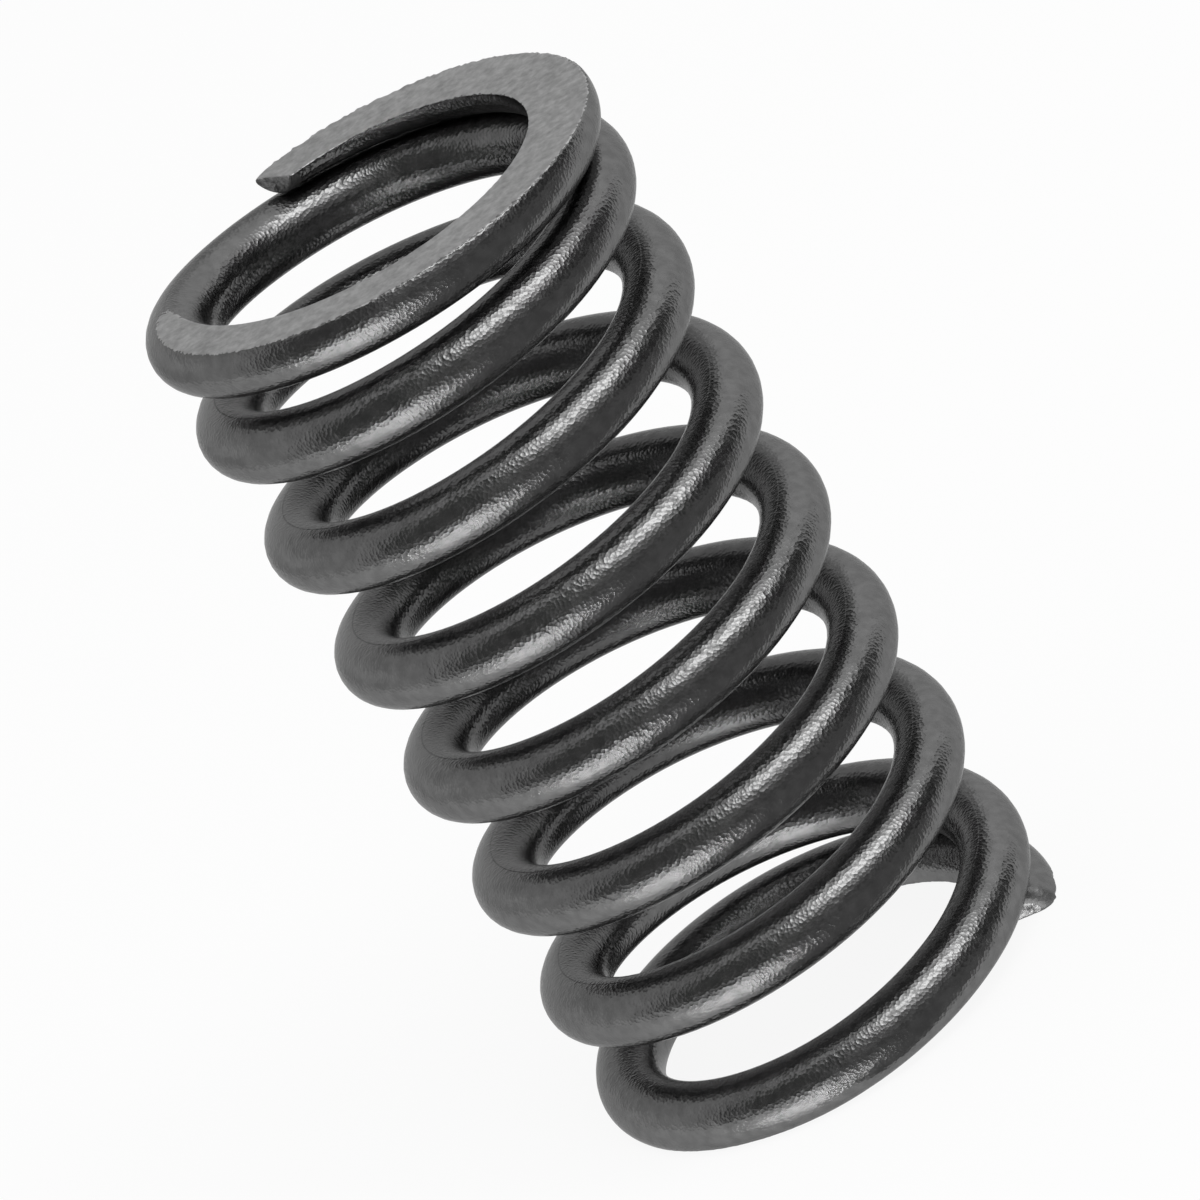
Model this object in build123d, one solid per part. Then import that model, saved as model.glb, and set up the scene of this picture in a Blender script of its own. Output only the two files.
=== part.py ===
"""Valve spring of a small engine: a round wire coiled right-handed, both ends closed and ground flat."""

import os
from math import cos, pi, radians, sin

from build123d import *

# Wire and coil, in millimetres
WIRE_DIAMETER = 3.5
OUTER_DIAMETER = 25.2
FREE_LENGTH = 48.8  # from one ground face to the other
TURNS = 8.355  # from the tip of the foot to the tip of the head
FOOT_DIRECTION = -20.0  # where the foot's tip points seen from above, degrees from +X

# Foot: the ground end that stands on the surface
FOOT_TOUCH_GAP = 0.1  # clear height between the tip and the coil above it
FOOT_CLOSED_TURNS = 0.47  # turns from the tip before the coil begins to open
FOOT_OPENING_TURNS = 0.7  # turns over which it opens to the full pitch
FOOT_LEAN = 0.47  # how far the closed coil swings to either side of level
FOOT_GRIND = 0.32  # how far the grinding went past the wire's centre at the tip

# Head: the ground end at the top
HEAD_TOUCH_GAP = 0.45  # before the tip is bent
HEAD_CLOSED_TURNS = 0.74
HEAD_OPENING_TURNS = 1.75
HEAD_LEAN = 0.43
HEAD_GRIND = 1.06
HEAD_TUCK = 0.34  # how far the very tip is bent inwards
HEAD_DIP = 0.37  # how far it is bent down onto the next coil
BENT_TURNS = 0.3  # turns over which the tip bends
HEAD_ASIDE = 0.14  # how far the head's ring stands off the axis, towards +X
ASIDE_TURNS = 0.6  # turns from the tip over which it does so whole
ASIDE_FADE_TURNS = 1.2  # turns over which it comes back to the axis

LEVEL_TURNS = 0.75  # the lean is whole up to here
LEAN_FADE_TURNS = 0.5  # and has faded out after so many turns more
POINTS_PER_TURN = 20

MEAN_RADIUS = (OUTER_DIAMETER - WIRE_DIAMETER) / 2
NODE = "valve_spring"


def blend(x):
    """A smooth step from 0 to 1."""
    x = min(max(x, 0.0), 1.0)
    return x * x * (3 - 2 * x)


def blend_sum(x):
    """The area under the smooth step from 0 to x."""
    inside = min(max(x, 0.0), 1.0)
    return inside**3 - inside**4 / 2 + max(x - 1.0, 0.0)


class ClosedEnd:
    """One closed end of the coil, measured in turns from its tip and in heights from the tip's centre."""

    def __init__(self, touch_gap, closed_turns, opening_turns, lean, grind):
        self.first_rise = WIRE_DIAMETER + touch_gap
        self.closed_turns = closed_turns
        self.opening_turns = opening_turns
        self.lean = lean
        self.grind = grind

    def opened(self, turns):
        """How much of the step from closed rise to full pitch has been gained after so many turns."""
        return self.opening_turns * blend_sum((turns - self.closed_turns) / self.opening_turns)

    def lost_turns(self):
        """The turns that the closed end takes off the open length, in turns of its first rise."""
        return (self.closed_turns + self.opening_turns / 2) / (1 - self.opened(1.0))

    def height(self, turns, pitch):
        """Height of the wire's centre above the centre of the tip."""
        closed_rise = (self.first_rise - pitch * self.opened(1.0)) / (1 - self.opened(1.0))
        fade = 1 - blend((turns - LEVEL_TURNS) / LEAN_FADE_TURNS)
        swing = self.lean * sin(2 * pi * turns) * fade
        return closed_rise * turns + (pitch - closed_rise) * self.opened(turns) + swing


FOOT = ClosedEnd(FOOT_TOUCH_GAP, FOOT_CLOSED_TURNS, FOOT_OPENING_TURNS, FOOT_LEAN, FOOT_GRIND)
HEAD = ClosedEnd(HEAD_TOUCH_GAP, HEAD_CLOSED_TURNS, HEAD_OPENING_TURNS, HEAD_LEAN, HEAD_GRIND)


def full_pitch():
    """Rise per turn of the open coils that gives the free length."""
    rise = FREE_LENGTH + FOOT.grind + HEAD.grind
    open_turns = TURNS
    for end in (FOOT, HEAD):
        rise -= end.first_rise * end.lost_turns()
        open_turns -= end.lost_turns()
    return rise / open_turns


def centre_point(turns, pitch):
    """A point of the wire's centre line, so many turns from the foot's tip."""
    from_head = TURNS - turns
    bend = max(1 - from_head / BENT_TURNS, 0.0) ** 2
    if turns < from_head:
        height = FOOT.height(turns, pitch) - FOOT.grind
    else:
        height = FREE_LENGTH + HEAD.grind - HEAD.height(from_head, pitch) - HEAD_DIP * bend
    radius = MEAN_RADIUS - HEAD_TUCK * bend
    angle = radians(FOOT_DIRECTION) + 2 * pi * turns
    aside = HEAD_ASIDE * (1 - blend((from_head - ASIDE_TURNS) / ASIDE_FADE_TURNS))
    return (radius * cos(angle) + aside, radius * sin(angle), height)


def centre_line():
    """The centre line of the wire as one smooth curve."""
    pitch = full_pitch()
    count = round(TURNS * POINTS_PER_TURN)
    return Spline(*[centre_point(TURNS * i / count, pitch) for i in range(count + 1)])


def coiled_wire(path):
    """The round wire swept along its centre line."""
    section = Plane(origin=path @ 0, z_dir=path % 0) * Circle(WIRE_DIAMETER / 2)
    return sweep(section, path, is_frenet=True)


def grind_ends(wire):
    """The wire with everything below the foot's face and above the head's face ground off.

    A sliver that the grinding might cut free is dropped: the spring is the largest piece.
    """
    across = 2 * OUTER_DIAMETER
    kept = Pos(0, 0, FREE_LENGTH / 2) * Box(across, across, FREE_LENGTH)
    return max((wire & kept).solids(), key=lambda piece: piece.volume)


def main():
    """Writes the spring as one solid."""
    os.makedirs("parts", exist_ok=True)
    spring = grind_ends(coiled_wire(centre_line()))
    export_step(spring, f"parts/{NODE}.step")


main()
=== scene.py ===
"""Looks of a valve spring: shot-peened, oil-tempered wire with ground ends, standing on a white table."""

import logging
import math
import sys
from dataclasses import dataclass
from enum import Enum

import bpy
import numpy as np
from mathutils import Matrix, Vector

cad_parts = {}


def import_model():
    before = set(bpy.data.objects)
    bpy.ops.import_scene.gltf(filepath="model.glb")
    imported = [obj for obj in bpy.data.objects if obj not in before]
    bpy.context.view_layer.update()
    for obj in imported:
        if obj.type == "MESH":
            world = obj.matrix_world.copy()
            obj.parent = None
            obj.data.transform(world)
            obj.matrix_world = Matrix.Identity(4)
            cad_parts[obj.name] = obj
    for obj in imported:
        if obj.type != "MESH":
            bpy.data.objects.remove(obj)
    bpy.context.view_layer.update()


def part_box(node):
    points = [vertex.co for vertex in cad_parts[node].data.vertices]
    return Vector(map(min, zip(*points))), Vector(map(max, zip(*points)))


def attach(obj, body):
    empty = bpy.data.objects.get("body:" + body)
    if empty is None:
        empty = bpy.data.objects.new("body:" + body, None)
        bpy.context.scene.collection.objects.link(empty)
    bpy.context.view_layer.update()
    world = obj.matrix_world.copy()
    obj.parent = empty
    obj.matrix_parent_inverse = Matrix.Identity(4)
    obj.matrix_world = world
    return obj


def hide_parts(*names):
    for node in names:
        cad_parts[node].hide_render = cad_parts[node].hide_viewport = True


LOG = logging.getLogger("valve_spring")
MM = 0.001
NODE = "valve_spring"
PICTURE_PIXELS = 1200
SENSOR_WIDTH = 36.0
SCUFFED = "scuffed"
PRESSED = "pressed"


def linear(hex_colour: str) -> tuple[float, float, float, float]:
    """Turns an sRGB hex colour into linear light.

    Args:
        hex_colour: Six hex digits, with or without a leading hash.

    Returns:
        Linear red, green, blue and an alpha of 1.
    """
    digits = hex_colour.lstrip("#")
    parts = [int(digits[i : i + 2], 16) / 255 for i in (0, 2, 4)]
    light = [c / 12.92 if c <= 0.04045 else ((c + 0.055) / 1.055) ** 2.4 for c in parts]
    return (light[0], light[1], light[2], 1.0)


def add_node(
    tree: bpy.types.NodeTree,
    kind: str,
    settings: dict[str, object] | None = None,
    inputs: dict[str | int, object] | None = None,
) -> bpy.types.Node:
    """Adds a shader node, sets it up and links it.

    Args:
        tree: The node tree that gets the node.
        kind: Blender's type name of the node, without its ShaderNode prefix.
        settings: Properties of the node itself.
        inputs: Socket values by name or number; an output socket as a value is linked.

    Returns:
        The new node.
    """
    node = tree.nodes.new("ShaderNode" + kind)
    for name, value in (settings or {}).items():
        setattr(node, name, value)
    for key, value in (inputs or {}).items():
        if isinstance(value, bpy.types.NodeSocket):
            tree.links.new(value, node.inputs[key])
        else:
            node.inputs[key].default_value = value
    return node


def smooth_step(x: np.ndarray | float) -> np.ndarray:
    """A smooth step from 0 to 1 as x goes from 0 to 1."""
    x = np.clip(x, 0.0, 1.0)
    return x * x * (3 - 2 * x)


def smooth_step_area(x: np.ndarray | float) -> np.ndarray:
    """The area under the smooth step from 0 to x."""
    inside = np.clip(x, 0.0, 1.0)
    return inside**3 - inside**4 / 2 + np.maximum(np.asarray(x) - 1.0, 0.0)


@dataclass(frozen=True)
class ClosedEnd:
    """One closed, ground end of the coil, in turns from its tip and in millimetres.

    Attributes:
        touch_gap: Clear height between the tip and the coil next to it.
        closed_turns: Turns from the tip before the coil begins to open.
        opening_turns: Turns over which it opens to the full pitch.
        lean: How far the closed coil swings to either side of level.
        grind: How far the grinding went past the wire's centre at the tip.
    """

    touch_gap: float
    closed_turns: float
    opening_turns: float
    lean: float
    grind: float

    LEVEL_TURNS = 0.75
    LEAN_FADE_TURNS = 0.5

    def opened(self, turns: np.ndarray | float) -> np.ndarray:
        """Turns' worth of opening from closed rise to full pitch, gained by here."""
        return self.opening_turns * smooth_step_area((turns - self.closed_turns) / self.opening_turns)

    def lost_turns(self) -> float:
        """How many turns of first rise the closed end takes off the open length."""
        return float((self.closed_turns + self.opening_turns / 2) / (1 - self.opened(1.0)))

    def height(self, turns: np.ndarray, pitch: float, wire_diameter: float) -> np.ndarray:
        """Height of the wire's centre above the centre of the tip.

        Args:
            turns: Turns from the tip.
            pitch: Rise per turn of the open coils.
            wire_diameter: Diameter of the wire.

        Returns:
            The heights in millimetres.
        """
        first_rise = wire_diameter + self.touch_gap
        closed_rise = (first_rise - pitch * self.opened(1.0)) / (1 - self.opened(1.0))
        fade = 1 - smooth_step((turns - self.LEVEL_TURNS) / self.LEAN_FADE_TURNS)
        swing = self.lean * np.sin(2 * math.pi * turns) * fade
        return closed_rise * turns + (pitch - closed_rise) * self.opened(turns) + swing


@dataclass(frozen=True)
class WireSection:
    """The round wire cut upright through the coil's axis, with a flat where a ground plane meets it.

    Attributes:
        radius: Radius of the wire in millimetres.
        flat_steps: Steps over half of a flat.
        edge_steps: Steps round an edge.
        side_steps: Steps down one round side.
    """

    radius: float
    flat_steps: int = 6
    edge_steps: int = 3
    side_steps: int = 12

    SHALLOW = math.radians(15)
    BLEND_FROM = math.radians(20)
    BLEND_OVER = math.radians(15)

    def points(self) -> int:
        """Points round one section."""
        return 4 * (self.flat_steps + self.edge_steps) + 2 * self.side_steps

    def half_cap(
        self, height: np.ndarray, radius: np.ndarray, edge: np.ndarray
    ) -> tuple[np.ndarray, np.ndarray, np.ndarray, np.ndarray]:
        """The outline from the middle of a flat out to where the round wire begins.

        Args:
            height: Distance from the wire's centre to the cutting plane, one for each section.
            radius: Radius of each section, as a column.
            edge: Rounding of the edge between flat and round, as a column.

        Returns:
            Outward and upward places, the normal's angle from upright, and how flat each point lies.
        """
        cut_height = np.minimum(height[:, None], radius)
        cut = np.arccos(np.clip((cut_height - edge) / (radius - edge), -1.0, 1.0))
        flat = (radius - edge) * np.sin(cut)
        steps = np.arange(self.flat_steps + self.edge_steps + 1)[None, :]
        turn = cut * np.clip((steps - self.flat_steps) / self.edge_steps, 0.0, 1.0)
        true_out = flat * np.minimum(steps / self.flat_steps, 1.0) + edge * np.sin(turn)
        true_up = cut_height - edge + edge * np.cos(turn)
        shallow = self.SHALLOW + cut**2 / (4 * self.SHALLOW)
        spread = np.where(cut > 2 * self.SHALLOW, cut, shallow)
        even_out = radius * np.sin(np.minimum(spread, math.pi / 2) * steps / steps.max())
        weight = smooth_step((cut - self.BLEND_FROM) / self.BLEND_OVER)
        out = true_out * weight + even_out * (1 - weight)
        in_edge = np.clip(out - flat, 0.0, edge)
        edge_up = cut_height - edge + np.sqrt(np.maximum(edge**2 - in_edge**2, 0.0))
        round_up = np.sqrt(np.maximum(radius**2 - out**2, 0.0))
        edge_end = flat + edge * np.sin(cut)
        found_up = np.where(out <= flat, cut_height, np.where(out < edge_end, edge_up, round_up))
        up = np.where(weight >= 1, true_up, found_up)
        found_turn = np.where(out < edge_end, np.arcsin(in_edge / edge), np.arcsin(np.clip(out / radius, -1, 1)))
        normal = np.where(weight >= 1, turn, found_turn)
        flatness = np.where(out <= flat + 1e-9, 1.0, np.where(out < edge_end, 0.5, 0.0))
        return out, up, normal, flatness

    def half(
        self, above: np.ndarray, below: np.ndarray, radius: np.ndarray, edge: np.ndarray
    ) -> tuple[np.ndarray, np.ndarray, np.ndarray, np.ndarray]:
        """Half of every section's outline, from the middle of the top to the middle of the bottom.

        Args:
            above: Distance from the wire's centre up to the head's plane, one for each section.
            below: Distance from the wire's centre down to the foot's plane.
            radius: Radius of each section, as a column.
            edge: Rounding of the edges between flat and round, as a column.

        Returns:
            Outward and upward places, the normal's angle from upright, and how flat each point lies.
        """
        top = self.half_cap(above, radius, edge)
        bottom = self.half_cap(below, radius, edge)
        first = np.arctan2(top[0][:, -1:], top[1][:, -1:])
        last = math.pi - np.arctan2(bottom[0][:, -1:], bottom[1][:, -1:])
        share = np.arange(1, self.side_steps)[None, :] / self.side_steps
        side = first + (last - first) * share
        none = np.zeros_like(side)
        out = np.hstack([top[0], radius * np.sin(side), bottom[0][:, ::-1]])
        up = np.hstack([top[1], radius * np.cos(side), -bottom[1][:, ::-1]])
        normal = np.hstack([top[2], side, math.pi - bottom[2][:, ::-1]])
        flatness = np.hstack([top[3], none, bottom[3][:, ::-1]])
        return out, up, normal, flatness

    def outline(
        self, above: np.ndarray, below: np.ndarray, inset: np.ndarray, edges: np.ndarray
    ) -> tuple[np.ndarray, np.ndarray, np.ndarray]:
        """Every section's outline, clockwise from the top.

        Args:
            above: Distance from the wire's centre up to the head's plane, one for each section.
            below: Distance from the wire's centre down to the foot's plane.
            inset: How much thinner the wire is there.
            edges: Rounding of the outer and of the inner edge of the flats, as two rows.

        Returns:
            Places and normals as (sections, points, 2) arrays, and each point's flatness.
        """
        radius = self.radius - inset[:, None]
        outer, inner = (self.half(above, below, radius, edge[:, None]) for edge in edges)
        back = slice(-2, 0, -1)
        out = np.hstack([outer[0], -inner[0][:, back]])
        up = np.hstack([outer[1], inner[1][:, back]])
        angles = np.hstack([outer[2], -inner[2][:, back]])
        flatness = np.hstack([outer[3], inner[3][:, back]])
        return np.stack([out, up], -1), np.stack([np.sin(angles), np.cos(angles)], -1), flatness


class Surface(Enum):
    """The kinds of surface on the spring, by material slot."""

    WIRE = 0
    FOOT_TIP = 1
    HEAD_TIP = 2


@dataclass
class SpringCoil:
    """The coiled wire, with every size in millimetres.

    Attributes:
        outer_diameter: Across the outside of the coil.
        free_length: From one ground face to the other.
        wire_diameter: Diameter of the wire.
        turns: Turns from the foot's tip to the head's tip.
        foot_direction: Where the foot's tip points seen from above, in degrees from +X.
        foot: The closed end that stands on the table.
        head: The closed end at the top.
        head_tuck: How far the very tip of the head is bent inwards.
        head_dip: How far it is bent down onto the next coil.
        bent_turns: Turns over which the tip bends.
        head_aside: How far the head's ring stands off the axis, towards +X.
        aside_turns: Turns from the tip over which it does so whole.
        aside_fade_turns: Turns over which it comes back to the axis.
        edge_radii: Rounding that grinding left on the outer and on the inner edges.
        edge_uneven: How much that rounding varies to either side, as a share of it.
        foot_tip_radius: Rounding that the cut-off tool rolled round the foot's tip.
        head_tip_radius: The same round the head's tip.
        tip_roughness: How far the sheared tips are torn out of flat.
        scuffed_length: How far from a tip the cut-off tool scuffed the skin.
        skew_back: How far the middle of the head's tip is cut back.
        skew: How much further the cut reaches for each millimetre outwards.
        corner_drop: How far the head tip's outer corner is pressed down.
        skewed_length: Length over which the head's tip is so misshapen.
    """

    outer_diameter: float
    free_length: float
    wire_diameter: float = 3.5
    turns: float = 8.355
    foot_direction: float = -20.0
    foot: ClosedEnd = ClosedEnd(0.1, 0.47, 0.7, 0.47, 0.32)
    head: ClosedEnd = ClosedEnd(0.45, 0.74, 1.75, 0.43, 1.06)
    head_tuck: float = 0.34
    head_dip: float = 0.37
    bent_turns: float = 0.3
    head_aside: float = 0.14
    aside_turns: float = 0.6
    aside_fade_turns: float = 1.2
    edge_radii: tuple[float, float] = (0.17, 0.07)
    edge_uneven: float = 0.6
    foot_tip_radius: float = 0.6
    head_tip_radius: float = 0.12
    tip_roughness: float = 0.03
    scuffed_length: float = 1.0
    skew_back: float = 0.185
    skew: float = 0.27
    corner_drop: float = 0.27
    skewed_length: float = 1.6

    END_TURNS = 0.97
    END_STEPS = 400
    OPEN_STEPS_PER_TURN = 96
    TIP_STEPS = 6
    TIP_RINGS = (0.9, 0.7, 0.5, 0.25)
    SEED = 7

    def mean_radius(self) -> float:
        """Radius of the coil's centre line."""
        return (self.outer_diameter - self.wire_diameter) / 2

    def pitch(self) -> float:
        """Rise per turn of the open coils that gives the free length."""
        rise = self.free_length + self.foot.grind + self.head.grind
        open_turns = self.turns
        for end in (self.foot, self.head):
            rise -= (self.wire_diameter + end.touch_gap) * end.lost_turns()
            open_turns -= end.lost_turns()
        return rise / open_turns

    def centre_height(self, turns: np.ndarray) -> np.ndarray:
        """Height of the wire's centre above the foot's ground face, so many turns from the foot's tip."""
        pitch = self.pitch()
        from_head = self.turns - turns
        low = self.foot.height(turns, pitch, self.wire_diameter) - self.foot.grind
        high = self.free_length + self.head.grind - self.head.height(from_head, pitch, self.wire_diameter)
        return np.where(turns < from_head, low, high - self.head_dip * self.bend(turns))

    def bend(self, turns: np.ndarray) -> np.ndarray:
        """How far the wire is bent towards the head's tip, from 0 to 1."""
        return np.clip(1 - (self.turns - turns) / self.bent_turns, 0.0, 1.0) ** 2

    def centre_radius(self, turns: np.ndarray) -> np.ndarray:
        """Radius of the wire's centre, which shrinks a little at the head's tip."""
        return self.mean_radius() - self.head_tuck * self.bend(turns)

    def centre_aside(self, turns: np.ndarray) -> np.ndarray:
        """How far the wire's centre stands off the axis, towards +X."""
        from_ring = (self.turns - turns - self.aside_turns) / self.aside_fade_turns
        return self.head_aside * (1 - smooth_step(from_ring))

    def edges(self, turns: np.ndarray) -> np.ndarray:
        """Rounding of the outer and inner ground edges at each section, uneven as the grinder tore them."""
        rng = np.random.default_rng(self.SEED)
        uneven = 1 + self.edge_uneven * rng.uniform(-1.0, 1.0, (2, len(turns)))
        near = np.clip(self.from_tip(turns) / self.scuffed_length, 0.0, 1.0)
        return np.array(self.edge_radii)[:, None] * (1 + (uneven - 1) * near)

    def from_tip(self, turns: np.ndarray) -> np.ndarray:
        """Distance along the wire from the nearer tip."""
        return np.minimum(turns, self.turns - turns) * 2 * math.pi * self.mean_radius()

    def misshape_head(self, out: np.ndarray, turns: np.ndarray) -> tuple[np.ndarray, np.ndarray]:
        """How the cut at the head's tip is skewed and its outer corner pressed down.

        Args:
            out: How far outwards from the wire's centre each point lies.
            turns: Turns from the foot's tip.

        Returns:
            How far each point moves along the wire, and how far down.
        """
        from_head = (self.turns - turns) * 2 * math.pi * self.mean_radius()
        near = np.clip(1 - from_head / self.skewed_length, 0.0, 1.0)[:, None]
        outer = np.clip(out / self.wire_diameter * 2, 0.0, 1.0)
        return near * (self.skew * out - self.skew_back), self.corner_drop * outer**2 * near**2

    def stations(self) -> tuple[np.ndarray, np.ndarray, np.ndarray]:
        """Where the sections stand along the wire.

        Returns:
            Turns from the foot's tip, the angle of each tip's rounding, a right angle elsewhere, and how
            much thinner the wire is there.
        """
        quarter = np.linspace(0.0, math.pi / 2, self.TIP_STEPS + 1)
        ends, insets = [], []
        for tip_radius in (self.foot_tip_radius, self.head_tip_radius):
            tip = tip_radius * (1 - np.cos(quarter)) / (2 * math.pi * self.mean_radius())
            ends.append(np.concatenate([tip[:-1], np.linspace(tip[-1], self.END_TURNS, self.END_STEPS)]))
            insets.append(tip_radius * (1 - np.sin(quarter)))
        open_steps = round((self.turns - 2 * self.END_TURNS) * self.OPEN_STEPS_PER_TURN)
        middle = np.linspace(self.END_TURNS, self.turns - self.END_TURNS, open_steps)
        turns = np.concatenate([ends[0], middle[1:-1], (self.turns - ends[1])[::-1]])
        rounding = np.full(len(turns), math.pi / 2)
        rounding[: len(quarter)] = quarter
        rounding[-len(quarter) :] = quarter[::-1]
        inset = np.zeros(len(turns))
        inset[: len(quarter)] = insets[0]
        inset[-len(quarter) :] = insets[1][::-1]
        return turns, rounding, inset

    def skin(self) -> tuple[np.ndarray, np.ndarray, np.ndarray, np.ndarray]:
        """The wire's surface.

        Returns:
            Places and normals as (sections, points, 3) arrays, how far each point was pressed down, and the
            tips' outward directions.
        """
        turns, rounding, inset = self.stations()
        height = self.centre_height(turns)
        radius = self.centre_radius(turns)
        angle = math.radians(self.foot_direction) + 2 * math.pi * turns
        slope = np.arctan(np.gradient(height, turns) / (2 * math.pi * radius))
        zero, one = np.zeros_like(angle), np.ones_like(angle)
        outward = np.stack([np.cos(angle), np.sin(angle), zero], -1)
        ahead = np.stack([-np.sin(angle) * np.cos(slope), np.cos(angle) * np.cos(slope), np.sin(slope)], -1)
        upward = np.cross(outward, ahead)
        upright = np.stack([zero, zero, one], -1)
        section = WireSection(self.wire_diameter / 2)
        shrink = np.cos(slope)
        above, below = (self.free_length - height) * shrink, height * shrink
        flat, normal, flatness = section.outline(above, below, inset, self.edges(turns))
        centre = outward * radius[:, None] + upright * height[:, None]
        centre[:, 0] += self.centre_aside(turns)
        places = (
            centre[:, None]
            + outward[:, None] * flat[..., :1]
            + upright[:, None] * flat[..., 1:] / shrink[:, None, None]
        )
        shift, drop = self.misshape_head(flat[..., 0], turns)
        level_ahead = ahead * (1.0, 1.0, 0.0)
        places += level_ahead[:, None] * shift[..., None] - upright[:, None] * drop[..., None]
        up = upward[:, None] * (1 - flatness[..., None]) + upright[:, None] * flatness[..., None]
        normals = outward[:, None] * normal[..., :1] + up * normal[..., 1:]
        tips = np.stack([-ahead[0], ahead[-1]])
        facing = np.where(turns[:, None] < self.turns / 2, tips[0], tips[1])
        round_part = (1 - flatness)[..., None]
        turned = facing[:, None] * np.cos(rounding)[:, None, None]
        normals = normals * (1 - round_part + round_part * np.sin(rounding)[:, None, None]) + turned * round_part
        normals /= np.linalg.norm(normals, axis=-1, keepdims=True)
        return places, normals, drop, tips

    def tip_rings(self, rim: np.ndarray, outward: np.ndarray, rng: np.random.Generator) -> np.ndarray:
        """Points of one torn tip face, in rings that shrink from its rim to its middle.

        Args:
            rim: Places of the section's outline at the tip.
            outward: Direction that the tip faces.
            rng: Source of the tearing.

        Returns:
            The rings' places, with the middle point last.
        """
        middle = (rim.max(0) + rim.min(0)) / 2
        rings = [middle + (rim - middle) * share for share in self.TIP_RINGS]
        points = np.vstack([*rings, middle[None]])
        torn = rng.normal(0.0, self.tip_roughness, len(points))
        return points + outward * torn[:, None]

    def faces(self, sections: int, around: int) -> tuple[list[tuple[int, ...]], list[int]]:
        """Faces of the skin and both tips.

        Args:
            sections: Number of sections along the wire.
            around: Number of points round each.

        Returns:
            Each face's points, and its material slot.
        """
        faces = []
        for i in range(sections - 1):
            here, there = i * around, (i + 1) * around
            for j in range(around):
                k = (j + 1) % around
                faces.append((here + j, here + k, there + k, there + j))
        slots = [Surface.WIRE.value] * len(faces)
        rings = len(self.TIP_RINGS)
        starts = (0, (sections - 1) * around)
        firsts = (sections * around, sections * around + rings * around + 1)
        tips = (Surface.FOOT_TIP, Surface.HEAD_TIP)
        for rim, first, flip, tip in zip(starts, firsts, (False, True), tips):
            loops = [rim] + [first + n * around for n in range(rings)]
            middle = first + rings * around
            for j in range(around):
                k = (j + 1) % around
                a, b = (j, k) if flip else (k, j)
                faces.append((loops[0] + a, loops[0] + b, loops[1] + b, loops[1] + a))
            slots += [Surface.WIRE.value] * around
            for j in range(around):
                k = (j + 1) % around
                a, b = (j, k) if flip else (k, j)
                for outer, inner in zip(loops[1:], loops[2:]):
                    faces.append((outer + a, outer + b, inner + b, inner + a))
                faces.append((loops[-1] + a, loops[-1] + b, middle))
            slots += [tip.value] * (len(faces) - len(slots))
        return faces, slots

    def build(self) -> bpy.types.Object:
        """Makes the coil as one closed mesh, in metres.

        Returns:
            The coil's object, linked to the scene and with no materials yet.
        """
        places, normals, drop, tips = self.skin()
        sections, around = places.shape[:2]
        rng = np.random.default_rng(self.SEED)
        torn = [self.tip_rings(places[i], tips[i], rng) for i in (0, -1)]
        points = np.vstack([places.reshape(-1, 3), *torn]) * MM
        faces, slots = self.faces(sections, around)
        mesh = bpy.data.meshes.new("valve_spring_coil")
        mesh.from_pydata(points.tolist(), [], faces)
        mesh.polygons.foreach_set("material_index", slots)
        mesh.polygons.foreach_set("use_smooth", [True] * len(faces))
        tip_normals = [np.repeat(tips[i][None], len(torn[i]), 0) for i in (0, 1)]
        mesh.normals_split_custom_set_from_vertices(np.vstack([normals.reshape(-1, 3), *tip_normals]).tolist())
        scuffed = np.clip(1 - self.from_tip(self.stations()[0]) / self.scuffed_length, 0.0, 1.0)
        on_tips = len(torn[0]) + len(torn[1])
        for name, values in ((SCUFFED, np.repeat(scuffed, around)), (PRESSED, drop.ravel() * MM)):
            values = np.concatenate([values, np.full(on_tips, values.max())])
            mesh.attributes.new(name, "FLOAT", "POINT").data.foreach_set("value", values)
        mesh.update()
        coil = bpy.data.objects.new("valve_spring_coil", mesh)
        bpy.context.scene.collection.objects.link(coil)
        return coil


@dataclass(frozen=True)
class PhotoCamera:
    """The camera at the photograph's place.

    Attributes:
        distance: From the middle of the spring, in millimetres.
        elevation: Degrees above level.
        roll: Degrees that the spring's axis leans to the left in the picture.
        pixels_per_mm: Scale of the picture at the middle of the spring.
        right_pixels: How far right of the picture's middle the spring's middle lies.
        up_pixels: How far above it.
    """

    distance: float = 540.0
    elevation: float = 22.32
    roll: float = 31.01
    pixels_per_mm: float = 20.437
    right_pixels: float = -0.6
    up_pixels: float = -8.1

    def place(self, middle: Vector) -> bpy.types.Object:
        """Adds the camera, aimed at the spring.

        Args:
            middle: Middle of the spring in metres.

        Returns:
            The camera, made the scene's own.
        """
        rise, lean = math.radians(self.elevation), math.radians(self.roll)
        level_right = Vector((1, 0, 0))
        level_up = Vector((0, math.sin(rise), math.cos(rise)))
        right = level_right * math.cos(lean) - level_up * math.sin(lean)
        up = level_right * math.sin(lean) + level_up * math.cos(lean)
        back = right.cross(up)
        aside = right * self.right_pixels + up * self.up_pixels
        spot = middle + (back * self.distance - aside / self.pixels_per_mm) * MM
        data = bpy.data.cameras.new("photo_camera")
        data.sensor_width = SENSOR_WIDTH
        data.lens = self.distance * self.pixels_per_mm * SENSOR_WIDTH / PICTURE_PIXELS
        data.clip_start = 0.01
        camera = bpy.data.objects.new("photo_camera", data)
        camera.matrix_world = Matrix.Translation(spot) @ Matrix((right, up, back)).transposed().to_4x4()
        bpy.context.scene.collection.objects.link(camera)
        bpy.context.scene.camera = camera
        return camera


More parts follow.
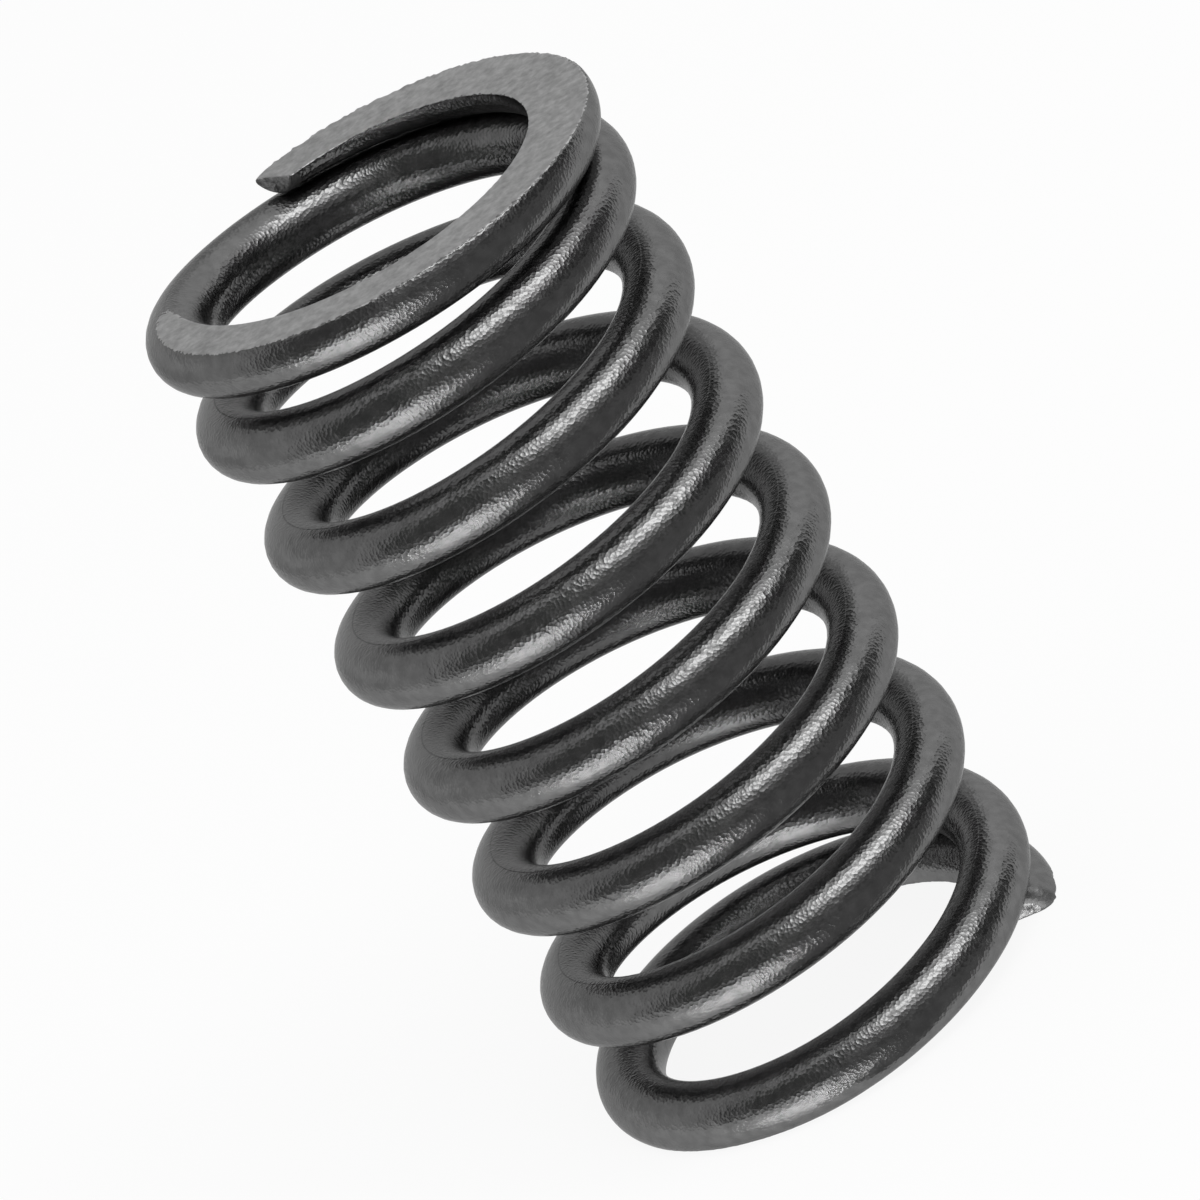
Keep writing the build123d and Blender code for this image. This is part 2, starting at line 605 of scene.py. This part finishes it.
@dataclass(frozen=True)
class PeenedSkin:
    """The skin of oil-tempered spring wire, shot-peened all over: dark grey oxide on dimpled steel.

    The oxide keeps the steel dark, and the overlapping dimples break each reflection into specks, so
    the wire looks satin from afar and grainy near by.

    Attributes:
        colour: Colour of the skin.
        worn_colour: Colour where the shot has rubbed the oxide thin.
        inside_painted_shade: Painted shade on the coil's inside, away from its ends, as a share of that colour.
        open_mm: How far from the ends that painted shade takes to reach its full depth.
        edge_tint: How bright the skin stays when seen nearly edge on, as the oxide dulls it there.
        roughness: Roughness of the smoothest skin.
        rough_patch: How much rougher its roughest patches are.
        scuffed_roughness: Roughness where the cut-off tool scuffed it.
        dimple_mm: Spacing of the dimples.
        dimple_rise_mm: Height of the skin one spacing away from a dimple's middle, were it to go on.
        grain_mm: Size of the fine grain between dimples.
        grain_rise_mm: Height of that grain.
        wave_mm: Length of the soft waves that drawing and coiling left.
        wave_rise_mm: Height of those waves.
        patch_mm: Size of the patches of colour and roughness.
    """

    colour: str = "#6a6a6a"
    worn_colour: str = "#767676"
    # Painted shade: the skin is drawn darker inside the coil, away from its ends.
    inside_painted_shade: float = 0.64
    open_mm: float = 13.0
    edge_tint: str = "#c6c6c6"
    roughness: float = 0.23
    rough_patch: float = 0.04
    scuffed_roughness: float = 0.5
    dimple_mm: float = 0.17
    dimple_rise_mm: float = 0.017
    grain_mm: float = 0.11
    grain_rise_mm: float = 0.001
    wave_mm: float = 0.9
    wave_rise_mm: float = 0.003
    patch_mm: float = 0.6

    def tone(
        self, tree: bpy.types.NodeTree, place: bpy.types.NodeSocket, mean_radius: float, free_length: float
    ) -> bpy.types.NodeSocket:
        """Painted shade: how bright the skin is drawn, from inside_painted_shade on the coil's inside to 1 on its
        outside and at its open ends.

        Args:
            tree: The material's node tree.
            place: Place on the object, in metres.
            mean_radius: Radius of the coil's centre line, in millimetres.
            free_length: Length of the spring, in millimetres.

        Returns:
            The socket that gives the painted shade.
        """
        level = add_node(tree, "VectorMath", {"operation": "MULTIPLY"}, {0: place, 1: (1.0, 1.0, 0.0)}).outputs[0]
        radius = add_node(tree, "VectorMath", {"operation": "LENGTH"}, {0: level}).outputs["Value"]
        height = add_node(tree, "SeparateXYZ", inputs={0: place}).outputs["Z"]
        below_head = add_node(tree, "Math", {"operation": "SUBTRACT"}, {0: free_length * MM, 1: height}).outputs[0]
        deep = add_node(tree, "Math", {"operation": "MINIMUM"}, {0: height, 1: below_head}).outputs[0]
        shade = {0: deep, 1: 2.0 * MM, 2: self.open_mm * MM, 3: 1.0, 4: self.inside_painted_shade}
        inside = add_node(tree, "MapRange", {"interpolation_type": "SMOOTHSTEP"}, shade).outputs[0]
        from_radius, to_radius = (mean_radius - 0.9) * MM, (mean_radius + 0.7) * MM
        reach = {0: radius, 1: from_radius, 2: to_radius, 3: inside, 4: 1.0}
        return add_node(tree, "MapRange", {"interpolation_type": "SMOOTHSTEP"}, reach).outputs[0]

    def height(self, tree: bpy.types.NodeTree, place: bpy.types.NodeSocket) -> bpy.types.NodeSocket:
        """Height of the skin in metres.

        Args:
            tree: The material's node tree.
            place: Place on the object, in metres.

        Returns:
            The socket that gives the height.
        """
        cells = add_node(tree, "TexVoronoi", inputs={"Vector": place, "Scale": 1 / (self.dimple_mm * MM)})
        far = cells.outputs["Distance"]
        dimples = add_node(tree, "Math", {"operation": "MULTIPLY"}, {0: far, 1: far}).outputs[0]
        grain = add_node(
            tree, "TexNoise", inputs={"Vector": place, "Scale": 1 / (self.grain_mm * MM), "Detail": 1.0}
        ).outputs[0]
        waves = add_node(
            tree, "TexNoise", inputs={"Vector": place, "Scale": 1 / (self.wave_mm * MM), "Detail": 1.0}
        ).outputs[0]
        rises = (self.dimple_rise_mm, self.grain_rise_mm, self.wave_rise_mm)
        total = None
        for texture, rise in zip((dimples, grain, waves), rises):
            scaled = {0: texture, 1: rise * MM, 2: 0.0 if total is None else total}
            total = add_node(tree, "Math", {"operation": "MULTIPLY_ADD"}, scaled).outputs[0]
        return total


@dataclass(frozen=True)
class GroundSkin:
    """Steel bared by the end grinder: light matte grey, mottled, with faint scratches.

    Attributes:
        colour: Colour of the bared steel.
        dull_colour: Colour of its darker mottling.
        roughness: Roughness of the face.
        mottle_mm: Size of the mottling.
        grit_mm: Size of the pits that the stone's grit left.
        grit_rise_mm: Depth of those pits.
        scratch_direction: Where the scratches run, in degrees from +X.
        scratch_mm: Length of a scratch.
        scratch_width_mm: Width of a scratch, drawn about three times as wide as real ones so that it shows.
        scratch_rise_mm: Depth of a scratch.
        ragged_mm: How far down the rounded edge the bared steel reaches, at most.
    """

    colour: str = "#c0c0c0"
    dull_colour: str = "#9a9a9a"
    roughness: float = 0.42
    mottle_mm: float = 0.5
    grit_mm: float = 0.14
    grit_rise_mm: float = 0.006
    scratch_direction: float = 38.0
    scratch_mm: float = 1.1
    scratch_width_mm: float = 0.13
    scratch_rise_mm: float = 0.003
    ragged_mm: float = 0.07

    def scratches(self, tree: bpy.types.NodeTree, place: bpy.types.NodeSocket) -> bpy.types.NodeSocket:
        """Pattern of the scratches, from 0 to 1."""
        way = {"Vector": place, "Rotation": (0.0, 0.0, -math.radians(self.scratch_direction))}
        turned = add_node(tree, "Mapping", {"vector_type": "POINT"}, way).outputs[0]
        long, wide = 1 / (self.scratch_mm * MM), 1 / (self.scratch_width_mm * MM)
        drawn = add_node(tree, "Mapping", inputs={"Vector": turned, "Scale": (long, wide, wide)}).outputs[0]
        noise = add_node(tree, "TexNoise", inputs={"Vector": drawn, "Scale": 1.0, "Detail": 1.0}).outputs[0]
        return add_node(tree, "MapRange", inputs={0: noise, 1: 0.58, 2: 0.72}).outputs[0]

    def grit(self, tree: bpy.types.NodeTree, place: bpy.types.NodeSocket) -> bpy.types.NodeSocket:
        """Pattern of the grit's pits, from 0 to 1."""
        fine = {"Vector": place, "Scale": 1 / (self.grit_mm * MM), "Detail": 2.0, "Roughness": 0.6}
        return add_node(tree, "TexNoise", inputs=fine).outputs[0]

    def mottle(self, tree: bpy.types.NodeTree, place: bpy.types.NodeSocket) -> bpy.types.NodeSocket:
        """Pattern of the mottling, from 0 to 1."""
        broad = {"Vector": place, "Scale": 1 / (self.mottle_mm * MM), "Detail": 3.0, "Roughness": 0.65}
        noise = add_node(tree, "TexNoise", inputs=broad).outputs[0]
        return add_node(tree, "MapRange", inputs={0: noise, 1: 0.3, 2: 0.7}).outputs[0]

    def mask(
        self, tree: bpy.types.NodeTree, place: bpy.types.NodeSocket, free_length: float
    ) -> bpy.types.NodeSocket:
        """1 where a ground plane bared the steel and 0 elsewhere.

        Args:
            tree: The material's node tree.
            place: Place on the object, in metres.
            free_length: From one ground face to the other, in millimetres.

        Returns:
            The socket that gives the mask.
        """
        up = add_node(tree, "SeparateXYZ", inputs={0: place}).outputs["Z"]
        pressed = add_node(tree, "Attribute", {"attribute_name": PRESSED}).outputs["Fac"]
        up = add_node(tree, "Math", {"operation": "ADD"}, {0: up, 1: pressed}).outputs[0]
        half = free_length * MM / 2
        from_middle = add_node(tree, "Math", {"operation": "SUBTRACT"}, {0: up, 1: half}).outputs[0]
        from_middle = add_node(tree, "Math", {"operation": "ABSOLUTE"}, {0: from_middle}).outputs[0]
        rag = add_node(tree, "TexNoise", inputs={"Vector": place, "Scale": 1 / (0.25 * MM), "Detail": 2.0})
        deep = add_node(
            tree,
            "MapRange",
            inputs={0: rag.outputs[0], 1: 0.35, 2: 0.7, 3: half - 0.002 * MM, 4: half - self.ragged_mm * MM},
        ).outputs[0]
        above = add_node(tree, "Math", {"operation": "SUBTRACT"}, {0: from_middle, 1: deep}).outputs[0]
        return add_node(tree, "MapRange", inputs={0: above, 1: 0.0, 2: 0.002 * MM}).outputs[0]


@dataclass(frozen=True)
class SpringSteel:
    """The wire's material: peened skin, with bared steel on the ground ends.

    Attributes:
        free_length: From one ground face to the other, in millimetres.
        mean_radius: Radius of the coil's centre line, in millimetres.
        skin: The peened skin.
        ground: The ground ends.
    """

    free_length: float
    mean_radius: float
    skin: PeenedSkin = PeenedSkin()
    ground: GroundSkin = GroundSkin()

    def material(self) -> bpy.types.Material:
        """Builds the material."""
        material = bpy.data.materials.new("shot_peened_spring_steel")
        material.use_nodes = True
        tree = material.node_tree
        shader = tree.nodes["Principled BSDF"]
        place = add_node(tree, "TexCoord").outputs["Object"]
        mask = self.ground.mask(tree, place, self.free_length)
        scratches = self.ground.scratches(tree, place)
        grit = self.ground.grit(tree, place)
        patches = add_node(
            tree, "TexNoise", inputs={"Vector": place, "Scale": 1 / (self.skin.patch_mm * MM), "Detail": 3.0}
        ).outputs[0]
        patch = add_node(tree, "MapRange", inputs={0: patches, 1: 0.35, 2: 0.65}).outputs[0]
        colours = []
        for share, low, high in (
            (patch, self.skin.colour, self.skin.worn_colour),
            (self.ground.mottle(tree, place), self.ground.dull_colour, self.ground.colour),
        ):
            mix = add_node(tree, "Mix", {"data_type": "RGBA"}, {0: share, 6: linear(low), 7: linear(high)})
            colours.append(mix.outputs[2])
        # Painted shade: the skin's colour is scaled darker inside the coil, away from its ends.
        tone = self.skin.tone(tree, place, self.mean_radius, self.free_length)
        skin = add_node(tree, "VectorMath", {"operation": "SCALE"}, {0: colours[0], "Scale": tone}).outputs[0]
        colour = add_node(tree, "Mix", {"data_type": "RGBA"}, {0: mask, 6: skin, 7: colours[1]}).outputs[2]
        rough = add_node(
            tree,
            "MapRange",
            inputs={0: patch, 3: self.skin.roughness, 4: self.skin.roughness + self.skin.rough_patch},
        ).outputs[0]
        scuffed = add_node(tree, "Attribute", {"attribute_name": SCUFFED}).outputs["Fac"]
        scuffed = add_node(tree, "MapRange", inputs={0: scuffed, 1: 0.0, 2: 0.5}).outputs[0]
        for share, matte in ((scuffed, self.skin.scuffed_roughness), (mask, self.ground.roughness)):
            rough = add_node(tree, "Mix", {"data_type": "FLOAT"}, {0: share, 2: rough, 3: matte}).outputs[0]
        dents = self.skin.height(tree, place)
        pits = add_node(
            tree, "Math", {"operation": "MULTIPLY"}, {0: grit, 1: self.ground.grit_rise_mm * MM}
        ).outputs[0]
        lines = add_node(
            tree, "Math", {"operation": "MULTIPLY_ADD"}, {0: scratches, 1: -self.ground.scratch_rise_mm * MM, 2: pits}
        ).outputs[0]
        height = add_node(tree, "Mix", {"data_type": "FLOAT"}, {0: mask, 2: dents, 3: lines}).outputs[0]
        bump = add_node(tree, "Bump", inputs={"Height": height, "Distance": 1.0, "Strength": 1.0})
        tree.links.new(colour, shader.inputs["Base Color"])
        tree.links.new(rough, shader.inputs["Roughness"])
        tree.links.new(bump.outputs["Normal"], shader.inputs["Normal"])
        shader.inputs["Metallic"].default_value = 1.0
        shader.inputs["Specular Tint"].default_value = linear(self.skin.edge_tint)
        return material


@dataclass(frozen=True)
class ShearedFace:
    """The torn face that the cut-off tool left on one of the wire's tips.

    Attributes:
        name: Name of the material.
        colour: Colour of the torn steel.
        dark_colour: Colour of its hollows.
        roughness: Roughness of the face.
        tear_mm: Size of the tears.
        tear_rise_mm: Height of the tears.
    """

    name: str
    colour: str
    dark_colour: str
    roughness: float = 0.4
    tear_mm: float = 0.22
    tear_rise_mm: float = 0.05

    def material(self) -> bpy.types.Material:
        """Builds the tip's material."""
        material = bpy.data.materials.new(self.name)
        material.use_nodes = True
        tree = material.node_tree
        shader = tree.nodes["Principled BSDF"]
        place = add_node(tree, "TexCoord").outputs["Object"]
        torn = {"Vector": place, "Scale": 1 / (self.tear_mm * MM), "Detail": 3.0}
        tears = add_node(tree, "TexNoise", inputs=torn).outputs[0]
        high = add_node(tree, "MapRange", inputs={0: tears, 1: 0.38, 2: 0.58}).outputs[0]
        tones = {0: high, 6: linear(self.dark_colour), 7: linear(self.colour)}
        colour = add_node(tree, "Mix", {"data_type": "RGBA"}, tones).outputs[2]
        rise = add_node(tree, "Math", {"operation": "MULTIPLY"}, {0: tears, 1: self.tear_rise_mm * MM}).outputs[0]
        bump = add_node(tree, "Bump", inputs={"Height": rise, "Distance": 1.0, "Strength": 1.0})
        tree.links.new(colour, shader.inputs["Base Color"])
        tree.links.new(bump.outputs["Normal"], shader.inputs["Normal"])
        shader.inputs["Metallic"].default_value = 1.0
        shader.inputs["Roughness"].default_value = self.roughness
        return material


@dataclass
class ValveSpring:
    """The whole part: the coil, dressed in its finishes."""

    coil: SpringCoil
    foot_tip: ShearedFace = ShearedFace("bright_sheared_spring_steel", "#a0a0a0", "#505050")
    head_tip: ShearedFace = ShearedFace("dull_sheared_spring_steel", "#7c7c7c", "#5c5c5c", tear_rise_mm=0.02)

    def build(self) -> bpy.types.Object:
        """Builds the coil, dresses it and ties it to the frame.

        Returns:
            The coil's object.
        """
        coil = self.coil.build()
        wire = SpringSteel(self.coil.free_length, self.coil.mean_radius()).material()
        for material in (wire, self.foot_tip.material(), self.head_tip.material()):
            coil.data.materials.append(material)
        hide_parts(NODE)
        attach(coil, "root")
        return coil


@dataclass(frozen=True)
class SoftBox:
    """A soft box of the studio.

    Attributes:
        name: Its name.
        azimuth: Direction from the spring, in degrees from +X towards +Y.
        elevation: Degrees above level.
        distance: From the spring, in metres.
        width: Angle that it spans across, in degrees.
        height: Angle that it spans the other way.
        turn: Degrees that it is turned about the way it shines.
        brightness: How bright its cloth is, where white card in full light is 1.
    """

    name: str
    azimuth: float
    elevation: float
    distance: float
    width: float
    height: float
    turn: float
    brightness: float

    def place(self, middle: Vector) -> bpy.types.Object:
        """Adds the light, aimed at the spring.

        Args:
            middle: Middle of the spring in metres.

        Returns:
            The light's object.
        """
        around, up = math.radians(self.azimuth), math.radians(self.elevation)
        way = Vector((math.cos(around) * math.cos(up), math.sin(around) * math.cos(up), math.sin(up)))
        data = bpy.data.lights.new(self.name, "AREA")
        data.shape = "RECTANGLE"
        data.size = 2 * self.distance * math.tan(math.radians(self.width / 2))
        data.size_y = 2 * self.distance * math.tan(math.radians(self.height / 2))
        data.energy = self.brightness * math.pi * data.size * data.size_y
        light = bpy.data.objects.new(self.name, data)
        level = Vector((0, 0, 1)).cross(way).normalized()
        face = Matrix((level, way.cross(level), way)).transposed()
        turned = Matrix.Rotation(math.radians(self.turn), 3, way) @ face
        light.matrix_world = Matrix.Translation(middle + way * self.distance) @ turned.to_4x4()
        bpy.context.scene.collection.objects.link(light)
        return light


@dataclass(frozen=True)
class PaintedReflectionCard:
    """A glowing card that only the steel's reflections see, like the flags photographers of metal set round it: a
    painted reflection.

    Attributes:
        name: Its name.
        colour: The colour that shows in a mirror.
        corners: Its corners in metres.
    """

    name: str
    colour: str
    corners: tuple[tuple[float, float, float], ...]

    def cloth(self) -> bpy.types.Material:
        """The card's surface: a plain glow in its colour, which only reflections see, so a painted reflection."""
        material = bpy.data.materials.new(self.name + "_cloth")
        material.use_nodes = True
        tree = material.node_tree
        tree.nodes.clear()
        cloth = add_node(tree, "Emission", inputs={"Color": linear(self.colour), "Strength": 1.0})
        add_node(tree, "OutputMaterial", inputs={"Surface": cloth.outputs[0]})
        return material

    def place(self) -> bpy.types.Object:
        """Adds the card, kept out of the picture itself."""
        mesh = bpy.data.meshes.new(self.name)
        mesh.from_pydata(self.corners, [], [tuple(range(len(self.corners)))])
        mesh.materials.append(self.cloth())
        card = bpy.data.objects.new(self.name, mesh)
        card.visible_camera = False
        card.visible_diffuse = False
        card.visible_shadow = False
        card.visible_transmission = False
        bpy.context.scene.collection.objects.link(card)
        return card


@dataclass
class Studio:
    """A white table, two soft boxes, glowing cards seen only in the steel's reflections, and a pale room."""

    table_radius: float = 2.0
    table_glow: float = 0.9
    room_light: float = 0.6
    boxes: tuple[SoftBox, ...] = (
        SoftBox("high_soft_box", -50.0, 53.5, 0.7, 54.0, 38.0, -22.0, 1.25),
        SoftBox("high_soft_box_heart", -50.0, 54.5, 0.69, 44.0, 10.0, -22.0, 5.1),
        SoftBox("low_soft_box", -121.0, -35.7, 0.7, 47.0, 37.5, 30.0, 2.05),
    )
    # Painted reflections: glowing cards that only the steel mirrors, which set its dark and grey bands.
    cards: tuple[PaintedReflectionCard, ...] = (
        PaintedReflectionCard("front_card", "#747474", ((-0.35, -0.9, 0.001), (1.2, -0.9, 0.001), (1.2, -0.9, 0.2), (-0.35, -0.9, 0.2))),
        PaintedReflectionCard("upper_card", "#989898", ((-0.35, -0.9, 0.2), (1.2, -0.9, 0.2), (1.2, -0.9, 3.0), (-0.35, -0.9, 3.0))),
        PaintedReflectionCard("outer_card", "#6c6c6c", ((-4.2, -0.9, 0.001), (-0.35, -0.9, 0.001), (-0.35, -0.9, 3.0), (-4.2, -0.9, 3.0))),
        PaintedReflectionCard("side_card", "#505050", ((1.2, -0.9, 0.001), (1.2, 0.4, 0.001), (1.2, 0.4, 0.6), (1.2, -0.9, 1.2))),
        # Painted shade and painted reflection: a dark card on the table from the spring's front edge outwards, so the
        # steel mirrors the table there as if in shade.
        PaintedReflectionCard(
            "low_card",
            "#8c8c8c",
            (
                (0.05, -0.008, 0.00005),
                (0.02, -0.01, 0.00005),
                (0.0125, -0.0105, 0.00005),
                (0.0068, -0.012, 0.00005),
                (0.0, -0.0124, 0.00005),
                (-0.0034, -0.014, 0.00005),
                (-0.0065, -0.021, 0.00005),
                (-0.24, -0.9, 0.00005),
                (1.2, -0.9, 0.00005),
                (1.2, 0.25, 0.00005),
            ),
        ),
        PaintedReflectionCard(
            "left_low_card",
            "#7c7c7c",
            (
                (-0.12, -0.027, 0.00005),
                (-0.1, -0.1, 0.00005),
                (-0.07, -0.125, 0.00005),
                (-0.48, -0.9, 0.00005),
                (-1.9, -0.9, 0.00005),
                (-1.9, -0.43, 0.00005),
            ),
        ),
        PaintedReflectionCard("left_card", "#d8d8d8", ((-1.9, -0.41, 0.001), (-1.2, 0.7, 0.001), (-1.2, 0.7, 1.0), (-1.9, -0.41, 1.2))),
        PaintedReflectionCard("upper_left_card", "#a4a4a4", ((-1.9, -0.41, 1.2), (-1.2, 0.7, 1.0), (-1.2, 0.7, 3.5), (-1.9, -0.41, 3.5))),
        PaintedReflectionCard(
            "far_low_card",
            "#dcdcdc",
            (
                (-0.06, 0.12, 0.00005),
                (-0.12, 0.07, 0.00005),
                (-0.12, -0.027, 0.00005),
                (-1.9, -0.43, 0.00005),
                (-1.6, 1.1, 0.00005),
                (-0.6, 1.85, 0.00005),
            ),
        ),
        PaintedReflectionCard("ceiling", "#cccccc", ((-3.0, 0.1, 0.9), (0.1, 0.1, 0.9), (0.7, 3.0, 0.9), (-3.0, 3.0, 0.9))),
    )

    def show_white(self, tree: bpy.types.NodeTree, share: float) -> bpy.types.NodeSocket:
        """How much of pure white a ray sees: the share for what is seen straight, in metal or through glass.

        Args:
            tree: Node tree that gets the nodes.
            share: Share of white for those rays; others see none.

        Returns:
            The socket that gives it.
        """
        rays = add_node(tree, "LightPath").outputs
        seen = add_node(tree, "Math", {"operation": "MAXIMUM"}, {0: rays["Is Camera Ray"], 1: rays["Is Glossy Ray"]})
        seen = add_node(
            tree, "Math", {"operation": "MAXIMUM"}, {0: seen.outputs[0], 1: rays["Is Transmission Ray"]}
        )
        return add_node(tree, "Math", {"operation": "MULTIPLY"}, {0: seen.outputs[0], 1: share}).outputs[0]

    def white_card(self) -> bpy.types.Material:
        """White card that keeps soft shadows."""
        material = bpy.data.materials.new("white_card")
        material.use_nodes = True
        tree = material.node_tree
        tree.nodes.clear()
        card = add_node(tree, "BsdfDiffuse", inputs={"Color": linear("#f4f4f4")})
        glow = add_node(tree, "Emission", inputs={"Color": linear("#ffffff"), "Strength": 1.0})
        share = self.show_white(tree, self.table_glow)
        mixed = add_node(tree, "MixShader", inputs={0: share, 1: card.outputs[0], 2: glow.outputs[0]})
        add_node(tree, "OutputMaterial", inputs={"Surface": mixed.outputs[0]})
        return material

    def table(self) -> bpy.types.Object:
        """Adds the table top that the spring stands on, which lets the low soft box shine up past it."""
        steps = 96
        rim = [2 * math.pi * i / steps for i in range(steps)]
        points = [(self.table_radius * math.cos(a), self.table_radius * math.sin(a), 0.0) for a in rim]
        mesh = bpy.data.meshes.new("white_table")
        mesh.from_pydata(points, [], [tuple(range(steps))])
        mesh.materials.append(self.white_card())
        table = bpy.data.objects.new("white_table", mesh)
        table.visible_shadow = False
        bpy.context.scene.collection.objects.link(table)
        return table

    def room(self) -> None:
        """Sets the pale room round the table."""
        world = bpy.data.worlds.new("pale_room")
        world.use_nodes = True
        bpy.context.scene.world = world
        tree = world.node_tree
        tree.nodes.clear()
        dim = add_node(tree, "Background", inputs={"Color": linear("#ffffff"), "Strength": self.room_light})
        white = add_node(tree, "Background", inputs={"Color": linear("#ffffff"), "Strength": 1.0})
        share = self.show_white(tree, 1.0)
        mixed = add_node(tree, "MixShader", inputs={0: share, 1: dim.outputs[0], 2: white.outputs[0]})
        add_node(tree, "OutputWorld", inputs={"Surface": mixed.outputs[0]})

    def build(self, middle: Vector) -> None:
        """Sets up table, room, cards and lights round the spring."""
        self.table()
        self.room()
        for card in self.cards:
            card.place()
        for box in self.boxes:
            light = box.place(middle)
            light.data.cycles.use_multiple_importance_sampling = box.elevation > 0
        bpy.context.scene.view_settings.view_transform = "Standard"


def main() -> None:
    """Builds the spring in its frame, the studio and the camera."""
    logging.basicConfig(level=logging.INFO, format="%(name)s: %(message)s", stream=sys.stdout)
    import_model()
    low, high = (Vector(corner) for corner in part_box(NODE))
    coil = SpringCoil(outer_diameter=(high.y - low.y) / MM, free_length=(high.z - low.z) / MM)
    spring = ValveSpring(coil).build()
    LOG.info("%s: %d faces, pitch %.3f mm", spring.name, len(spring.data.polygons), coil.pitch())
    middle = Vector((0.0, 0.0, (low.z + high.z) / 2))
    Studio().build(middle)
    LOG.info("studio: white table, pale room and soft boxes")
    PhotoCamera().place(middle)
    LOG.info("camera: at the photograph's place")


if __name__ == "__main__":
    main()
